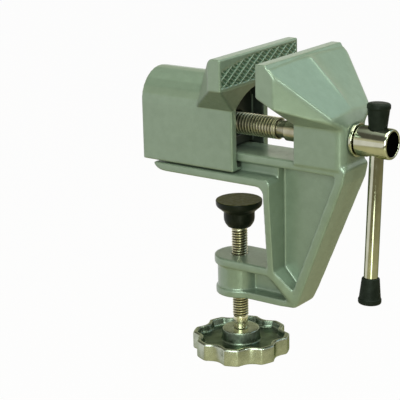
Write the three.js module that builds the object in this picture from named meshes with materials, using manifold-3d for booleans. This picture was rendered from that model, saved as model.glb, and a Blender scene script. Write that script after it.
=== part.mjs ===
// A small bench vise that clamps to a table edge, modelled as its separate pieces.
// Millimetres. +X runs along the lead screw to its handle, +Z is up, and the origin lies on the
// clamp screw's axis in the underside of the table plate, which rests on the table top.

import * as THREE from 'three';
import { mergeVertices } from 'three/addons/utils/BufferGeometryUtils.js';
import { ConvexGeometry } from 'three/addons/geometries/ConvexGeometry.js';
import Module from 'manifold-3d';

const wasm = await Module();
wasm.setup();

// Clearances and shared details
const RUNNING_GAP = 0.05;      // radial gap of a shaft that turns in its hole
const SEAT_GAP = 0.3;          // gap between pieces that rest on each other
const SLIDE_GAP = 0.35;        // gap between the moving jaw and its rail
const OVERRUN = 1;             // how far a cutter reaches past the face that it cuts
const ROUND_SIDES = 28;        // sides of a turned piece
const SMALL_ROUND_SIDES = 16;  // sides of a thin rod or small hole

// Jaws
const JAW_WIDTH = 50;
const JAW_OPENING = 14.3;      // between the gripping faces at rest
const JAW_TOP = 47.4;
const JAW_PLATE_HEIGHT = 11.4; // of each gripping face
const SCREW_HEIGHT = 19.3;     // lead screw's axis above the table plate's underside

// Rail, which the moving jaw slides on
const RAIL_LEFT = -29.6;
const RAIL_WIDTH = 16.4;
const RAIL_TOP = 10.5;
const RAIL_THICKNESS = 3.4;
const NECK_WIDTH = 11;

// Table plate and the C-shaped clamp frame
const PLATE_LEFT = -30.3;
const PLATE_WIDTH = 24;
const PLATE_THICKNESS = 3.1;
const PLATE_NOSE_LENGTH = 4.8; // rounded underside at the plate's left end
const POST_INNER = 18.4;       // post's face towards the clamp screw
const POST_THICKNESS = 2.8;
const MOUTH_HEIGHT = 30.9;     // from the table plate down to the arm
const MOUTH_FILLET = 3;
const CORNER_RADIUS = 2;
const ARM_WIDTH = 19;
const ARM_TOP_THICKNESS = 3.2;
const ARM_HEIGHT = 14.9;
const ARM_FOOT_THICKNESS = 2.7;
const ARM_FOOT_RADIUS = 9.1;
const ARM_FOOT_FILLET = 8;       // hollow between the round foot and the bottom flange
const ARM_BOSS_RADIUS = 8.4;
const HEEL_WIDTH = 12.8;       // bottom flange and the back flange's lower end
const HEEL_X = 28.4;
const WEB_THICKNESS = 3.6;
const RIB_THICKNESS = 2.5;
const BACK_THICKNESS = 3.6;
const BACK_BEND = 7;           // height where the back flange turns from upright to slanted
const BEND_CUT = 2.5;          // how far above and below that height the turn is eased
const BACK_STANDOUT = 0.7;     // how far the back flange stands out past the block

// Fixed jaw
const FIXED_FACE = 24.4;
const FIXED_PLATE_THICKNESS = 7.2;
const FIXED_LIP_THICKNESS = 4.3;
const FIXED_LIP_SLOPE = 0.7;   // how much thicker the lip is at its foot
const FIXED_STEP = 1.5;        // how far the back of the jaw lies below its lip
const FIXED_END_DROP = 3.6;    // how much lower the jaw's end reaches at its back
const FLARE_END_INSET = 1.5;   // from the flare's end to the block's right face
const FLARE_END_WIDTH = 26.4;
const FLARE_END_TOP = 28.7;
const FLARE_END_BOTTOM = 26.4;
const BLOCK_LEFT = 29.3;
const BLOCK_RIGHT = 49.3;
const BLOCK_WIDTH = 17.4;
const BLOCK_TOP = 24.9;
const BLOCK_CORNER_RADIUS = 3;
const RIDGE_RISE = 0.9;        // ridge along the middle of the fixed jaw's back

// Moving jaw
const BODY_LEFT = -35.2;
const BODY_RIGHT = 5.6;
const BODY_WIDTH = 23.6;
const BODY_WALL = 3.1;
const BODY_BOTTOM = 3.7;
const BODY_TOP = 37.4;
const LIP_REACH = 2.5;         // how far the jaw's lips reach in below the rail's edges
const WING_PLATE_THICKNESS = 5.2;
const WING_TOP_BEVEL = 1;      // along the back of the wing's top edge
const WING_FOOT_LEFT = -9.9;   // where the wing starts on the body's sides
const WING_FOOT_HEIGHT = 26.4;
const WING_CREST_LEFT = -13;   // where the wing starts on the body's top
const BULKHEAD_FRONT = 0.5;
const BULKHEAD_WALL = 3;
const ARC_STEPS = 12;

// Nut in the moving jaw
const NUT_WIDTH = 13;
const NUT_LENGTH = 6.5;
const NUT_CHAMFER = 1;

// Lead screw
const LEAD_SCREW_RADIUS = 4;
const LEAD_SCREW_TIP = -34.6;
const LEAD_NECK_LEFT = 18.4;
const LEAD_NECK_LENGTH = 2;
const LEAD_NECK_RADIUS = 3.4;
const TIP_CHAMFER = 0.9;
const SCREW_CLEARANCE = 0.5;   // radial room round the thread where it passes a wall

// Retaining clip that holds the lead screw in the fixed jaw
const CLIP_POCKET_DEPTH = 8;
const CLIP_POCKET_RADIUS = 6.8;
const CLIP_RADIUS = 5.6;
const CLIP_THICKNESS = 0.9;
const CLIP_GROOVE_DEPTH = 0.8;
const CLIP_GROOVE_SPARE = 0.3;
const CLIP_MOUTH = 5.6;
const CLIP_WASHER_THICKNESS = 1;
const CLIP_WASHER_RADIUS = 6.1;

// Screw head with its thrust washer, end plug and tommy bar
const WASHER_RADIUS = 6;
const WASHER_THICKNESS = 1.3;
const HEAD_RADIUS = 5.4;
const HEAD_REACH = 14.6;       // from the block's right face to the head's end
const HEAD_CHAMFER = 0.9;
const HEAD_START_CHAMFER = 0.4;
const PLUG_RADIUS = 4.35;
const PLUG_THICKNESS = 2.2;
const PLUG_INSET = 0.2;
const HEAD_HOLE_RADIUS = 3.4;  // the bar's caps sink into this hole and rest on the screw
const BAR_REACH = 8.5;         // from the block's right face to the bar's axis
const BAR_RADIUS = 2.5;
const BAR_LENGTH = 67.6;
const BAR_TILT = 4;            // degrees from upright, its lower end to the front
const BAR_CLEARANCE = 0.12;
const BAR_CHAMFER = 0.4;
const CAP_LENGTH = 9.5;
const CAP_SMALL_RADIUS = 3.15;
const CAP_LARGE_RADIUS = 4.15;
const CAP_ROUND = 1.2;
const CAP_END_THICKNESS = 1.6;

// Table clamp
const CLAMP_SCREW_RADIUS = 3;
const PAD_DROP = 9.9;          // from the table plate's underside to the pad at rest
const PAD_RADIUS = 8.7;
const PAD_RIM = 2.3;
const PAD_NECK_RADIUS = 5.8;
const PAD_NECK_HEIGHT = 3.7;
const PAD_HEIGHT = 10.4;
const PAD_ROUND = 2.2;         // rounding below the neck
const PAD_END_RADIUS = 4.3;
const PAD_MOUTH_RADIUS = 3;
const PAD_FLOOR = 2.6;         // of the pad, above its socket
const BALL_RADIUS = 3.4;
const BALL_NECK_RADIUS = 2.1;
const BALL_GAP = 0.1;
const WHEEL_RADIUS = 18.4;
const WHEEL_LOBES = 8;
const WHEEL_LOBE_STEPS = 8;
const WHEEL_LOBE_SHARE = 1.3;  // the lower, the broader the lobes and the narrower the notches
const WHEEL_NOTCH_DEPTH = 2.6;
const WHEEL_RIM_WALL = 1.8;
const WHEEL_DROP = 62.9;       // from the table plate's underside to the wheel's rim
const WHEEL_HEIGHT = 6.6;
const WHEEL_HUB_RADIUS = 7;
const WHEEL_HUB_RISE = 2.2;
const WHEEL_DISH_DEPTH = 2.4;  // from the rim down to the web
const WHEEL_WEB_THICKNESS = 1.6;
const WHEEL_NUT_WIDTH = 7;
const WHEEL_NUT_THICKNESS = 2.2;
const STUB_RADIUS = 2;
const STUB_CHAMFER = 0.3;
const SHANK_RADIUS = 2.7;
const SHANK_RISE = 5;          // smooth shank above the wheel's hub

// Finishes
const FINISHES = {
  casting: { color: 0x7c9487, roughness: 0.42, metalness: 0.35 },
  chrome: { color: 0xb9b6a6, roughness: 0.16, metalness: 1 },
  steel: { color: 0x9a9484, roughness: 0.34, metalness: 1 },
  aluminium: { color: 0xa2a596, roughness: 0.38, metalness: 0.9 },
  rubber: { color: 0x14160f, roughness: 0.6, metalness: 0 },
};

// Values worked out from the sizes above
const jawHalf = JAW_WIDTH / 2;
const jawPlateBottom = JAW_TOP - JAW_PLATE_HEIGHT;
const movingFace = FIXED_FACE - JAW_OPENING;
const railHalf = RAIL_WIDTH / 2;
const railBottom = RAIL_TOP - RAIL_THICKNESS;
const plateHalf = PLATE_WIDTH / 2;
const postOuter = POST_INNER + POST_THICKNESS;
const armTop = -MOUTH_HEIGHT;
const armBottom = armTop - ARM_HEIGHT;
const armHalf = ARM_WIDTH / 2;
const heelHalf = HEEL_WIDTH / 2;
const webHalf = WEB_THICKNESS / 2;
const blockHalf = BLOCK_WIDTH / 2;
const bodyHalf = BODY_WIDTH / 2;
const backRight = BLOCK_RIGHT + BACK_STANDOUT;
const flareEnd = BLOCK_RIGHT - FLARE_END_INSET;
const headRight = BLOCK_RIGHT + HEAD_REACH;
const barX = BLOCK_RIGHT + BAR_REACH;
const clampTop = -PAD_DROP;
const wheelTop = -WHEEL_DROP;
const wheelBottom = wheelTop - WHEEL_HEIGHT;
const wheelNutTop = wheelTop - WHEEL_DISH_DEPTH - WHEEL_WEB_THICKNESS - SEAT_GAP;
const wheelNutBottom = wheelNutTop - WHEEL_NUT_THICKNESS;

const part = new THREE.Group();

// Solids from three.js geometry

const MERGE_DISTANCE = 1e-5;

function toSolid(geometry) {
  const bare = geometry.clone();
  bare.deleteAttribute('normal');
  bare.deleteAttribute('uv');
  const merged = mergeVertices(bare, MERGE_DISTANCE);
  return new wasm.Manifold(new wasm.Mesh({
    numProp: 3,
    vertProperties: new Float32Array(merged.attributes.position.array),
    triVerts: new Uint32Array(merged.index.array),
  }));
}

function toGeometry(solid) {
  const mesh = solid.getMesh();
  const geometry = new THREE.BufferGeometry();
  geometry.setAttribute('position', new THREE.BufferAttribute(mesh.vertProperties, 3));
  geometry.setIndex(new THREE.BufferAttribute(mesh.triVerts, 1));
  geometry.computeVertexNormals();
  return geometry;
}

function block([x0, x1], [y0, y1], [z0, z1]) {
  const geometry = new THREE.BoxGeometry(x1 - x0, y1 - y0, z1 - z0);
  geometry.translate((x0 + x1) / 2, (y0 + y1) / 2, (z0 + z1) / 2);
  return toSolid(geometry);
}

// Convex solid through points given as [x, y, z]
function hull(points) {
  return toSolid(new ConvexGeometry(points.map((p) => new THREE.Vector3(...p))));
}

function boxCorners([x0, x1], [y0, y1], [z0, z1]) {
  return [x0, x1].flatMap((x) => [y0, y1].flatMap((y) => [z0, z1].map((z) => [x, y, z])));
}

// Outline in X and Z, extruded to both sides of the middle plane
function sidePlate(shape, halfWidth) {
  const geometry = new THREE.ExtrudeGeometry(shape, {
    depth: 2 * halfWidth, bevelEnabled: false, curveSegments: ARC_STEPS,
  });
  geometry.rotateX(Math.PI / 2);
  geometry.translate(0, halfWidth, 0);
  return toSolid(geometry);
}

// Outline in X and Y, extruded between two heights
function flatPlate(shape, [z0, z1]) {
  const geometry = new THREE.ExtrudeGeometry(shape, {
    depth: z1 - z0, bevelEnabled: false, curveSegments: ARC_STEPS,
  });
  geometry.translate(0, 0, z0);
  return toSolid(geometry);
}

// Outline in Y and Z, extruded between two places along X
function crossPlate(shape, [x0, x1]) {
  const geometry = new THREE.ExtrudeGeometry(shape, {
    depth: x1 - x0, bevelEnabled: false, curveSegments: ARC_STEPS,
  });
  geometry.rotateX(Math.PI / 2);
  geometry.rotateZ(Math.PI / 2);
  geometry.translate(x0, 0, 0);
  return toSolid(geometry);
}

function outline(points) {
  const shape = new THREE.Shape();
  points.forEach(([a, b], i) => (i ? shape.lineTo(a, b) : shape.moveTo(a, b)));
  shape.closePath();
  return shape;
}

// Profile of [radius, height] pairs turned about Z
function turned(profile, sides = ROUND_SIDES) {
  const points = profile.map(([radius, height]) => new THREE.Vector2(radius, height));
  if (THREE.ShapeUtils.isClockWise(points)) points.reverse();
  points.push(points[0].clone());
  const geometry = new THREE.LatheGeometry(points, sides);
  geometry.rotateX(Math.PI / 2);
  return toSolid(geometry);
}

function roundRod(radius, [z0, z1], sides = ROUND_SIDES) {
  return turned([[0, z0], [radius, z0], [radius, z1], [0, z1]], sides);
}

function disc(radius, hole, [z0, z1], sides = ROUND_SIDES) {
  return turned([[hole, z0], [radius, z0], [radius, z1], [hole, z1]], sides);
}

// Turns a solid made along Z so that it runs along the lead screw
function alongScrew(solid) {
  return solid.rotate([0, 90, 0]).translate([0, 0, SCREW_HEIGHT]);
}

function arc(centre, radius, from, to, steps) {
  return Array.from({ length: steps + 1 }, (_, i) => {
    const angle = from + ((to - from) * i) / steps;
    return [centre[0] + radius * Math.cos(angle), centre[1] + radius * Math.sin(angle)];
  });
}

function addMesh(name, finish, geometry) {
  const mesh = new THREE.Mesh(geometry, new THREE.MeshStandardMaterial(FINISHES[finish]));
  mesh.name = name;
  part.add(mesh);
  return mesh;
}

// Frame casting

function tablePlate() {
  const nose = arc([0, 0], 1, Math.PI, 1.5 * Math.PI, ARC_STEPS / 2).map(([a, b]) => [
    PLATE_LEFT + PLATE_NOSE_LENGTH * (1 + a), PLATE_THICKNESS * (1 + b)]);
  const corner = arc([postOuter - CORNER_RADIUS, PLATE_THICKNESS - CORNER_RADIUS], CORNER_RADIUS,
    0, Math.PI / 2, ARC_STEPS / 3);
  const fillet = arc([POST_INNER - MOUTH_FILLET, -MOUTH_FILLET], MOUTH_FILLET,
    Math.PI / 2, 0, ARC_STEPS / 3);
  return sidePlate(outline([...nose, ...fillet, [POST_INNER, -MOUTH_FILLET - OVERRUN],
    [postOuter, -MOUTH_FILLET - OVERRUN], ...corner]), plateHalf);
}

// Post that narrows from the table plate's width to the arm's
function post() {
  return hull([
    ...boxCorners([POST_INNER, postOuter], [-plateHalf, plateHalf], [-MOUTH_FILLET - OVERRUN, -MOUTH_FILLET]),
    ...boxCorners([POST_INNER, postOuter], [-armHalf, armHalf], [armTop - ARM_TOP_THICKNESS, armTop]),
  ]);
}

function rail() {
  return block([RAIL_LEFT, backRight - BACK_THICKNESS], [-railHalf, railHalf], [railBottom, RAIL_TOP])
    .add(block([RAIL_LEFT, postOuter], [-NECK_WIDTH / 2, NECK_WIDTH / 2],
      [PLATE_THICKNESS - OVERRUN, railBottom + OVERRUN]));
}

// Places along the back flange's outer face
const backSlope = (backRight - HEEL_X) / (BACK_BEND - armBottom);
const backX = (z) => (z > BACK_BEND ? backRight : backRight - backSlope * (BACK_BEND - z));

function web() {
  const inset = BACK_THICKNESS / 2;
  return sidePlate(outline([
    [POST_INNER + POST_THICKNESS / 2, railBottom + OVERRUN],
    [POST_INNER + POST_THICKNESS / 2, armTop],
    [ARM_BOSS_RADIUS - OVERRUN, armTop - ARM_TOP_THICKNESS / 2],
    [ARM_BOSS_RADIUS - OVERRUN, armBottom + ARM_FOOT_THICKNESS / 2],
    [backX(armBottom) - inset, armBottom + ARM_FOOT_THICKNESS / 2],
    [backX(BACK_BEND) - inset, BACK_BEND],
    [backRight - inset, railBottom + OVERRUN],
  ]), webHalf);
}

function backFlange() {
  const turn = BACK_THICKNESS * Math.hypot(1, backSlope);
  const low = BACK_BEND - BEND_CUT;
  const upper = [-railHalf, railHalf].flatMap((y) => [
    [backRight - BACK_THICKNESS, y, RAIL_TOP], [backRight, y, RAIL_TOP],
    [backRight, y, BACK_BEND + BEND_CUT], [backX(low), y, low], [backX(low) - turn, y, low]]);
  const heelTop = armBottom + CORNER_RADIUS;
  const heel = arc([backX(heelTop) - CORNER_RADIUS, heelTop], CORNER_RADIUS, 0, -Math.PI / 2, ARC_STEPS / 3);
  const lower = [[backX(heelTop) - turn, heelTop], [backX(heelTop) - turn, armBottom], ...heel]
    .flatMap(([x, z]) => [[x, -heelHalf, z], [x, heelHalf, z]]);
  const bend = boxCorners([backX(low) - turn, backX(low)], [-railHalf, railHalf], [low, low]);
  return hull(upper).add(hull([...bend, ...lower]));
}

function cornerRib() {
  const reach = RIB_THICKNESS * Math.SQRT2;
  const heelX = backX(armBottom) - BACK_THICKNESS;
  const heelZ = armBottom + ARM_FOOT_THICKNESS;
  return hull([
    ...[-armHalf, armHalf].flatMap((y) => [
      [postOuter, y, armTop - RIB_THICKNESS + reach / 2],
      [postOuter - reach, y, armTop - RIB_THICKNESS],
      [postOuter, y, armTop - RIB_THICKNESS - reach / 2]]),
    ...[-heelHalf, heelHalf].flatMap((y) => [
      [heelX + reach, y, heelZ + reach],
      [heelX, y, heelZ],
      [heelX + reach, y, heelZ - reach / 2]]),
  ]);
}

// Arm with a round end, a boss round the clamp screw and a waisted foot
function arm() {
  const top = new THREE.Shape();
  top.moveTo(postOuter, -armHalf);
  top.lineTo(postOuter, armHalf);
  top.lineTo(0, armHalf);
  top.absarc(0, 0, armHalf, Math.PI / 2, 1.5 * Math.PI, false);
  top.closePath();
  const hollowY = heelHalf + ARM_FOOT_FILLET;
  const hollowX = Math.sqrt((ARM_FOOT_RADIUS + ARM_FOOT_FILLET) ** 2 - hollowY ** 2);
  const waist = Math.atan2(hollowY, hollowX);
  const hollow = (side) => arc([hollowX, side * hollowY], ARM_FOOT_FILLET, -side * Math.PI / 2,
    -side * (Math.PI - waist), ARC_STEPS / 2);
  const foot = outline([
    ...arc([0, 0], ARM_FOOT_RADIUS, waist, 2 * Math.PI - waist, 2 * ARC_STEPS),
    ...hollow(-1).reverse().slice(1), [backX(armBottom) - CORNER_RADIUS, -heelHalf],
    [backX(armBottom) - CORNER_RADIUS, heelHalf], ...hollow(1).slice(0, -1)]);
  const footTop = armBottom + ARM_FOOT_THICKNESS;
  return flatPlate(top, [armTop - ARM_TOP_THICKNESS, armTop])
    .add(flatPlate(foot, [armBottom, footTop]))
    .add(roundRod(ARM_BOSS_RADIUS, [armBottom, armTop - ARM_TOP_THICKNESS / 2]));
}

// Outline of the block under the fixed jaw, its right corners rounded
function blockOutline() {
  const x = BLOCK_RIGHT - BLOCK_CORNER_RADIUS;
  const y = blockHalf - BLOCK_CORNER_RADIUS;
  return [[BLOCK_LEFT, blockHalf], [BLOCK_LEFT, -blockHalf],
    ...arc([x, -y], BLOCK_CORNER_RADIUS, -Math.PI / 2, 0, ARC_STEPS / 2),
    ...arc([x, y], BLOCK_CORNER_RADIUS, 0, Math.PI / 2, ARC_STEPS / 2)];
}

function fixedJaw() {
  const lipTop = JAW_TOP;
  const stepTop = JAW_TOP - FIXED_STEP;
  const plateBack = FIXED_FACE + FIXED_PLATE_THICKNESS;
  const lipBack = FIXED_FACE + FIXED_LIP_THICKNESS;
  const lip = hull([
    ...boxCorners([FIXED_FACE, lipBack], [-jawHalf, jawHalf], [jawPlateBottom, lipTop]),
    ...boxCorners([FIXED_FACE, lipBack + FIXED_LIP_SLOPE], [-jawHalf, jawHalf], [jawPlateBottom, stepTop]),
  ]);
  const flareHalf = FLARE_END_WIDTH / 2;
  const flare = hull([
    ...[-jawHalf, jawHalf].flatMap((y) => [
      [FIXED_FACE, y, jawPlateBottom], [FIXED_FACE, y, stepTop],
      [plateBack - FIXED_STEP, y, stepTop], [plateBack, y, stepTop - FIXED_STEP],
      [plateBack, y, jawPlateBottom - FIXED_END_DROP], [FIXED_FACE + FIXED_END_DROP, y, jawPlateBottom]]),
    ...[-flareHalf, flareHalf].flatMap((y) => [
      [flareEnd, y, FLARE_END_TOP], [flareEnd, y, FLARE_END_BOTTOM]]),
    ...blockOutline().flatMap(([x, y]) => [[x, y, BLOCK_TOP - OVERRUN], [x, y, BLOCK_TOP]]),
    [plateBack - FIXED_STEP, 0, stepTop + RIDGE_RISE],
    [flareEnd, 0, FLARE_END_TOP + RIDGE_RISE],
  ]);
  const boss = flatPlate(outline(blockOutline()), [RAIL_TOP - OVERRUN, BLOCK_TOP]);
  return lip.add(flare).add(boss);
}

function frameCasting() {
  const journal = alongScrew(roundRod(LEAD_SCREW_RADIUS + RUNNING_GAP,
    [BLOCK_LEFT - OVERRUN, backRight + OVERRUN]));
  const clipPocket = alongScrew(roundRod(CLIP_POCKET_RADIUS,
    [BLOCK_LEFT - OVERRUN, BLOCK_LEFT + CLIP_POCKET_DEPTH]));
  const clampHole = roundRod(CLAMP_SCREW_RADIUS + RUNNING_GAP, [armBottom - OVERRUN, armTop + OVERRUN]);
  const casting = [tablePlate(), post(), rail(), web(), backFlange(), cornerRib(), arm(), fixedJaw()]
    .reduce((whole, piece) => whole.add(piece))
    .subtract(journal).subtract(clipPocket).subtract(clampHole);
  addMesh('frame_casting', 'casting', toGeometry(casting));
}

// Moving jaw

// Arched section through the jaw, drawn inwards by the given wall
function archSection(wall, bottom) {
  const half = bodyHalf - wall;
  const top = BODY_TOP - wall;
  return outline([[-half, bottom], [half, bottom],
    ...arc([0, top - half], half, 0, Math.PI, ARC_STEPS)]);
}

function jawBody() {
  const length = [BODY_LEFT, BODY_RIGHT];
  const bore = crossPlate(archSection(BODY_WALL, railBottom - SLIDE_GAP),
    [BODY_LEFT - OVERRUN, BODY_RIGHT + OVERRUN]);
  const lipHalf = railHalf + SLIDE_GAP - LIP_REACH;
  const slot = block([BODY_LEFT - OVERRUN, BODY_RIGHT + OVERRUN], [-lipHalf, lipHalf],
    [BODY_BOTTOM - OVERRUN, railBottom]);
  return crossPlate(archSection(0, BODY_BOTTOM), length).subtract(bore).subtract(slot);
}

function jawWing() {
  const back = movingFace - WING_PLATE_THICKNESS;
  const wing = hull([
    ...boxCorners([back, movingFace], [-jawHalf, jawHalf], [jawPlateBottom, JAW_TOP - WING_TOP_BEVEL]),
    ...boxCorners([back + WING_TOP_BEVEL, movingFace], [-jawHalf, jawHalf], [jawPlateBottom, JAW_TOP]),
    ...boxCorners([WING_FOOT_LEFT, BODY_RIGHT], [-bodyHalf, bodyHalf], [WING_FOOT_HEIGHT, WING_FOOT_HEIGHT]),
    [WING_CREST_LEFT, 0, BODY_TOP],
  ]);
  const mouth = crossPlate(archSection(BODY_WALL, railBottom), [BULKHEAD_FRONT, movingFace + OVERRUN]);
  return wing.subtract(mouth);
}

function bulkhead() {
  const rear = BULKHEAD_FRONT - 2 * BULKHEAD_WALL - NUT_LENGTH - 2 * SEAT_GAP;
  const wall = crossPlate(archSection(BODY_WALL / 2, RAIL_TOP + SLIDE_GAP), [rear, BULKHEAD_FRONT]);
  const slotHalf = NUT_WIDTH / 2 + SEAT_GAP;
  const nutSlot = block([BULKHEAD_FRONT - BULKHEAD_WALL - NUT_LENGTH - 2 * SEAT_GAP,
    BULKHEAD_FRONT - BULKHEAD_WALL], [-slotHalf, slotHalf],
    [RAIL_TOP - OVERRUN, SCREW_HEIGHT + slotHalf]);
  const hole = alongScrew(roundRod(LEAD_SCREW_RADIUS + SCREW_CLEARANCE, [rear - OVERRUN, BULKHEAD_FRONT + OVERRUN]));
  return { wall, nutSlot, hole };
}

function movingJaw() {
  const { wall, nutSlot, hole } = bulkhead();
  const jaw = jawBody().add(jawWing()).add(wall).subtract(nutSlot).subtract(hole);
  addMesh('moving_jaw', 'casting', toGeometry(jaw));
}

function jawNut() {
  const half = NUT_WIDTH / 2;
  const cut = half - NUT_CHAMFER;
  const middle = BULKHEAD_FRONT - BULKHEAD_WALL - SEAT_GAP - NUT_LENGTH / 2;
  const blank = crossPlate(outline([[-cut, -half], [cut, -half], [half, -cut], [half, cut],
    [cut, half], [-cut, half], [-half, cut], [-half, -cut]]), [-NUT_LENGTH / 2, NUT_LENGTH / 2])
    .translate([middle, 0, SCREW_HEIGHT]);
  const hole = alongScrew(roundRod(LEAD_SCREW_RADIUS + RUNNING_GAP,
    [middle - NUT_LENGTH, middle + NUT_LENGTH]));
  addMesh('jaw_nut', 'steel', toGeometry(blank.subtract(hole)));
}

// Lead screw and what holds it in the fixed jaw

const clipWasherLeft = BLOCK_LEFT + CLIP_POCKET_DEPTH - SEAT_GAP - CLIP_WASHER_THICKNESS;
const clipLeft = clipWasherLeft - SEAT_GAP - CLIP_THICKNESS;
const clipGrooveRadius = LEAD_SCREW_RADIUS - CLIP_GROOVE_DEPTH;
const plugLeft = headRight - PLUG_INSET - PLUG_THICKNESS;

function barHole(radius) {
  return roundRod(radius, [-2 * HEAD_RADIUS, 2 * HEAD_RADIUS])
    .rotate([-BAR_TILT, 0, 0]).translate([barX, 0, SCREW_HEIGHT]);
}

function leadScrew() {
  const r = LEAD_SCREW_RADIUS;
  const neckRight = LEAD_NECK_LEFT + LEAD_NECK_LENGTH;
  const grooveLeft = clipLeft - CLIP_GROOVE_SPARE;
  const grooveRight = clipLeft + CLIP_THICKNESS + CLIP_GROOVE_SPARE;
  const rod = turned([
    [0, LEAD_SCREW_TIP], [r - TIP_CHAMFER, LEAD_SCREW_TIP], [r, LEAD_SCREW_TIP + TIP_CHAMFER],
    [r, LEAD_NECK_LEFT], [LEAD_NECK_RADIUS, LEAD_NECK_LEFT], [LEAD_NECK_RADIUS, neckRight], [r, neckRight],
    [r, grooveLeft], [clipGrooveRadius, grooveLeft], [clipGrooveRadius, grooveRight], [r, grooveRight],
    [r, plugLeft - SEAT_GAP], [0, plugLeft - SEAT_GAP],
  ]);
  addMesh('lead_screw', 'steel', toGeometry(alongScrew(rod).subtract(barHole(BAR_RADIUS + BAR_CLEARANCE))));
}

function clipWasher() {
  const washer = disc(CLIP_WASHER_RADIUS, LEAD_SCREW_RADIUS + SEAT_GAP / 2,
    [clipWasherLeft, clipWasherLeft + CLIP_WASHER_THICKNESS]);
  addMesh('clip_washer', 'steel', toGeometry(alongScrew(washer)));
}

// Open ring that snaps into the screw's groove
function retainingClip() {
  const places = [clipLeft, clipLeft + CLIP_THICKNESS];
  const ring = alongScrew(disc(CLIP_RADIUS, clipGrooveRadius + SEAT_GAP, places));
  const mouth = block([clipLeft - OVERRUN, clipLeft + CLIP_THICKNESS + OVERRUN],
    [-CLIP_MOUTH / 2, CLIP_MOUTH / 2], [SCREW_HEIGHT - 2 * CLIP_RADIUS, SCREW_HEIGHT]);
  addMesh('retaining_clip', 'steel', toGeometry(ring.subtract(mouth)));
}

function thrustWasher() {
  const left = BLOCK_RIGHT + SEAT_GAP;
  const washer = disc(WASHER_RADIUS, LEAD_SCREW_RADIUS + SEAT_GAP / 2, [left, left + WASHER_THICKNESS]);
  addMesh('thrust_washer', 'chrome', toGeometry(alongScrew(washer)));
}

function screwHead() {
  const left = BLOCK_RIGHT + WASHER_THICKNESS + 2 * SEAT_GAP;
  const bore = LEAD_SCREW_RADIUS + RUNNING_GAP;
  const seat = PLUG_RADIUS + RUNNING_GAP;
  const sleeve = turned([
    [bore, left], [HEAD_RADIUS - HEAD_START_CHAMFER, left], [HEAD_RADIUS, left + HEAD_START_CHAMFER],
    [HEAD_RADIUS, headRight - HEAD_CHAMFER], [HEAD_RADIUS - HEAD_CHAMFER, headRight],
    [seat, headRight], [seat, plugLeft - SEAT_GAP], [bore, plugLeft - SEAT_GAP],
  ]);
  addMesh('screw_head', 'chrome', toGeometry(alongScrew(sleeve).subtract(barHole(HEAD_HOLE_RADIUS))));
}

function headPlug() {
  const plug = roundRod(PLUG_RADIUS, [plugLeft, plugLeft + PLUG_THICKNESS]);
  addMesh('screw_head_plug', 'rubber', toGeometry(alongScrew(plug)));
}

// Tommy bar and its two end caps

const capBoreDepth = CAP_LENGTH - CAP_END_THICKNESS;
const upperCapStart = LEAD_SCREW_RADIUS + SEAT_GAP;
const barTop = upperCapStart + capBoreDepth - SEAT_GAP;
const lowerCapStart = barTop - BAR_LENGTH + capBoreDepth - SEAT_GAP;

// Places a solid made along Z so that it lies along the tilted bar
function alongBar(solid) {
  return solid.rotate([-BAR_TILT, 0, 0]).translate([barX, 0, SCREW_HEIGHT]);
}

function tommyBar() {
  const r = BAR_RADIUS;
  const low = barTop - BAR_LENGTH;
  const rod = turned([[0, low], [r - BAR_CHAMFER, low], [r, low + BAR_CHAMFER],
    [r, barTop - BAR_CHAMFER], [r - BAR_CHAMFER, barTop], [0, barTop]], SMALL_ROUND_SIDES);
  addMesh('tommy_bar', 'chrome', toGeometry(alongBar(rod)));
}

// Cap with its small end at zero, flaring to a rounded end
function barCap() {
  const bore = BAR_RADIUS + RUNNING_GAP;
  const roundEnd = arc([CAP_LARGE_RADIUS - CAP_ROUND, CAP_LENGTH - CAP_ROUND], CAP_ROUND, 0, Math.PI / 2, 3);
  return turned([[0, capBoreDepth], [bore, capBoreDepth], [bore, 0], [CAP_SMALL_RADIUS, 0],
    ...roundEnd, [0, CAP_LENGTH]], SMALL_ROUND_SIDES);
}

function barCaps() {
  const upper = barCap().translate([0, 0, upperCapStart]);
  const lower = barCap().rotate([180, 0, 0]).translate([0, 0, lowerCapStart]);
  addMesh('tommy_bar_cap_upper', 'rubber', toGeometry(alongBar(upper)));
  addMesh('tommy_bar_cap_lower', 'rubber', toGeometry(alongBar(lower)));
}

// Table clamp

const padBottom = clampTop - PAD_HEIGHT;
const ballCentre = clampTop - PAD_FLOOR - BALL_GAP - BALL_RADIUS;

function clampPad() {
  const socket = BALL_RADIUS + BALL_GAP;
  const mouthAngle = -Math.acos(PAD_MOUTH_RADIUS / socket);
  const socketWall = arc([0, ballCentre], socket, Math.PI / 2, mouthAngle, ARC_STEPS / 2);
  const pad = turned([
    ...socketWall, [PAD_MOUTH_RADIUS, padBottom], [PAD_END_RADIUS, padBottom],
    [PAD_NECK_RADIUS, padBottom + PAD_ROUND], [PAD_NECK_RADIUS, padBottom + PAD_ROUND + PAD_NECK_HEIGHT],
    [PAD_RADIUS, clampTop - PAD_RIM], [PAD_RADIUS, clampTop], [0, clampTop],
  ]);
  addMesh('clamp_pad', 'rubber', toGeometry(pad));
}

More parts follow.
